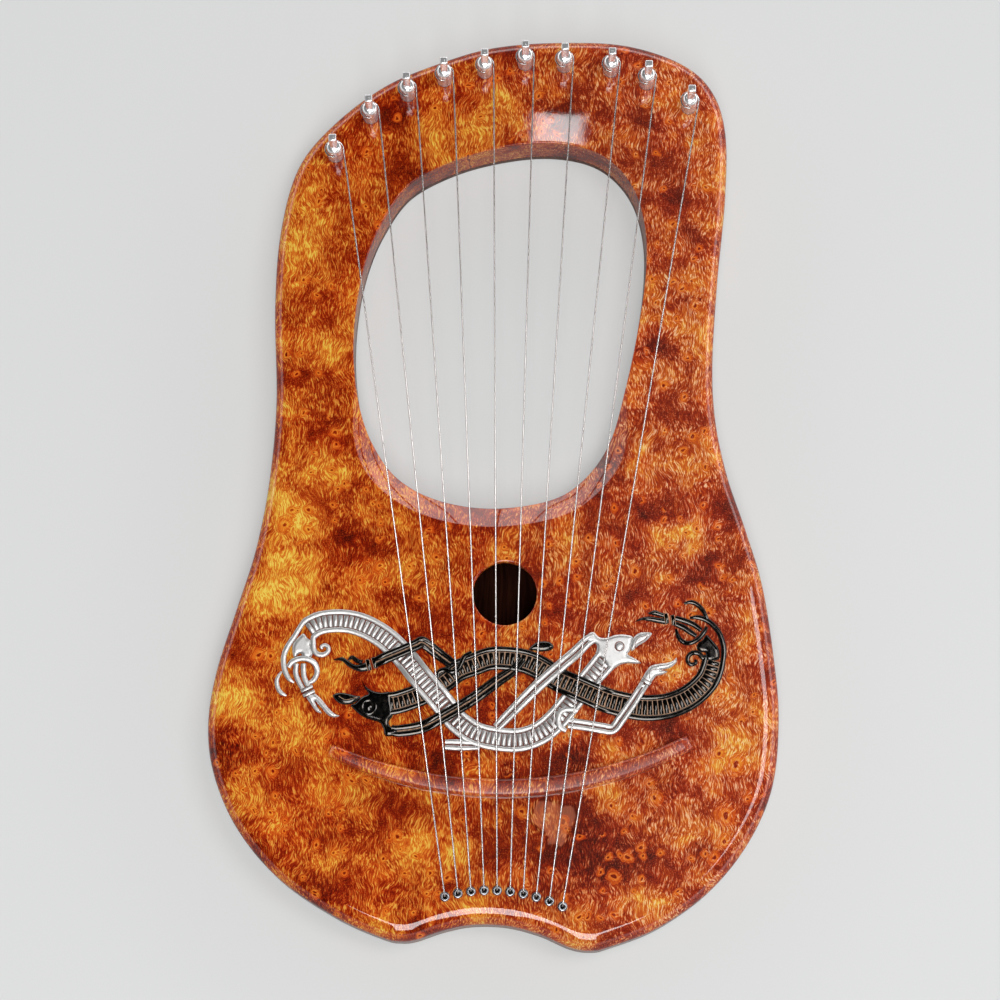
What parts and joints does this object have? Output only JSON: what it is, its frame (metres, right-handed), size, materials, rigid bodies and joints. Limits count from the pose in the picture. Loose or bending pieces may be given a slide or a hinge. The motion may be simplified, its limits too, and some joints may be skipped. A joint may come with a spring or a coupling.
{
  "type": "lyre harp",
  "caption": "Small lyre harp: burl wood body with a hand opening, turning tuning pins, steel strings over a curved bridge, and two interlaced cast beasts as ornament.",
  "frame": {"origin": "on the floor under the middle of the body's outline, with the lyre lying on its back", "axes": "+Z out of the front face, +Y from the string feet towards the tuning pins, +X towards the treble side"},
  "size_m": [0.2494, 0.41, 0.052],
  "materials": {
    "burl_wood": "burl under thick gloss lacquer",
    "dark_wood": "satin lacquer",
    "spruce": "bare",
    "pin_chrome": "polished",
    "string_steel": "drawn wire",
    "ball_brass": "turned",
    "cast_silver": "cast, soft shine",
    "cast_black": "cast and blackened, glossy"
  },
  "bodies": {
    "lyre": {"soundboard": "burl_wood", "body_frame": "burl_wood", "back_plate": "dark_wood", "tail_block": "dark_wood", "upper_brace": "spruce", "lower_brace": "spruce", "bridge_patch": "spruce", "bridge": "burl_wood", "silver_beast": "cast_silver", "black_beast": "cast_black", "string_01": "string_steel", "string_02": "string_steel", "string_03": "string_steel", "string_04": "string_steel", "string_05": "string_steel", "string_06": "string_steel", "string_07": "string_steel", "string_08": "string_steel", "string_09": "string_steel", "string_10": "string_steel", "ferrule_01": "pin_chrome", "ferrule_02": "pin_chrome", "ferrule_03": "pin_chrome", "ferrule_04": "pin_chrome", "ferrule_05": "pin_chrome", "ferrule_06": "pin_chrome", "ferrule_07": "pin_chrome", "ferrule_08": "pin_chrome", "ferrule_09": "pin_chrome", "ferrule_10": "pin_chrome", "ball_end_01": "ball_brass", "ball_end_02": "ball_brass", "ball_end_03": "ball_brass", "ball_end_04": "ball_brass", "ball_end_05": "ball_brass", "ball_end_06": "ball_brass", "ball_end_07": "ball_brass", "ball_end_08": "ball_brass", "ball_end_09": "ball_brass", "ball_end_10": "ball_brass"},
    "pin_01": {"tuning_pin_01": "pin_chrome"},
    "pin_02": {"tuning_pin_02": "pin_chrome"},
    "pin_03": {"tuning_pin_03": "pin_chrome"},
    "pin_04": {"tuning_pin_04": "pin_chrome"},
    "pin_05": {"tuning_pin_05": "pin_chrome"},
    "pin_06": {"tuning_pin_06": "pin_chrome"},
    "pin_07": {"tuning_pin_07": "pin_chrome"},
    "pin_08": {"tuning_pin_08": "pin_chrome"},
    "pin_09": {"tuning_pin_09": "pin_chrome"},
    "pin_10": {"tuning_pin_10": "pin_chrome"}
  },
  "joints": [
    {"name": "pin_01_turn", "type": "hinge", "parent": "lyre", "child": "pin_01", "pos_m": [-0.0713, 0.1498, 0.025], "axis": [0, 0, 1], "continuous": true},
    {"name": "pin_02_turn", "type": "hinge", "parent": "lyre", "child": "pin_02", "pos_m": [-0.0555, 0.1679, 0.025], "axis": [0, 0, 1], "continuous": true},
    {"name": "pin_03_turn", "type": "hinge", "parent": "lyre", "child": "pin_03", "pos_m": [-0.0388, 0.1784, 0.025], "axis": [0, 0, 1], "continuous": true},
    {"name": "pin_04_turn", "type": "hinge", "parent": "lyre", "child": "pin_04", "pos_m": [-0.0222, 0.1854, 0.025], "axis": [0, 0, 1], "continuous": true},
    {"name": "pin_05_turn", "type": "hinge", "parent": "lyre", "child": "pin_05", "pos_m": [-0.004, 0.1893, 0.025], "axis": [0, 0, 1], "continuous": true},
    {"name": "pin_06_turn", "type": "hinge", "parent": "lyre", "child": "pin_06", "pos_m": [0.0142, 0.1931, 0.025], "axis": [0, 0, 1], "continuous": true},
    {"name": "pin_07_turn", "type": "hinge", "parent": "lyre", "child": "pin_07", "pos_m": [0.0319, 0.192, 0.025], "axis": [0, 0, 1], "continuous": true},
    {"name": "pin_08_turn", "type": "hinge", "parent": "lyre", "child": "pin_08", "pos_m": [0.0529, 0.1898, 0.025], "axis": [0, 0, 1], "continuous": true},
    {"name": "pin_09_turn", "type": "hinge", "parent": "lyre", "child": "pin_09", "pos_m": [0.0691, 0.1839, 0.025], "axis": [0, 0, 1], "continuous": true},
    {"name": "pin_10_turn", "type": "hinge", "parent": "lyre", "child": "pin_10", "pos_m": [0.0881, 0.1725, 0.025], "axis": [0, 0, 1], "continuous": true}
  ]
}
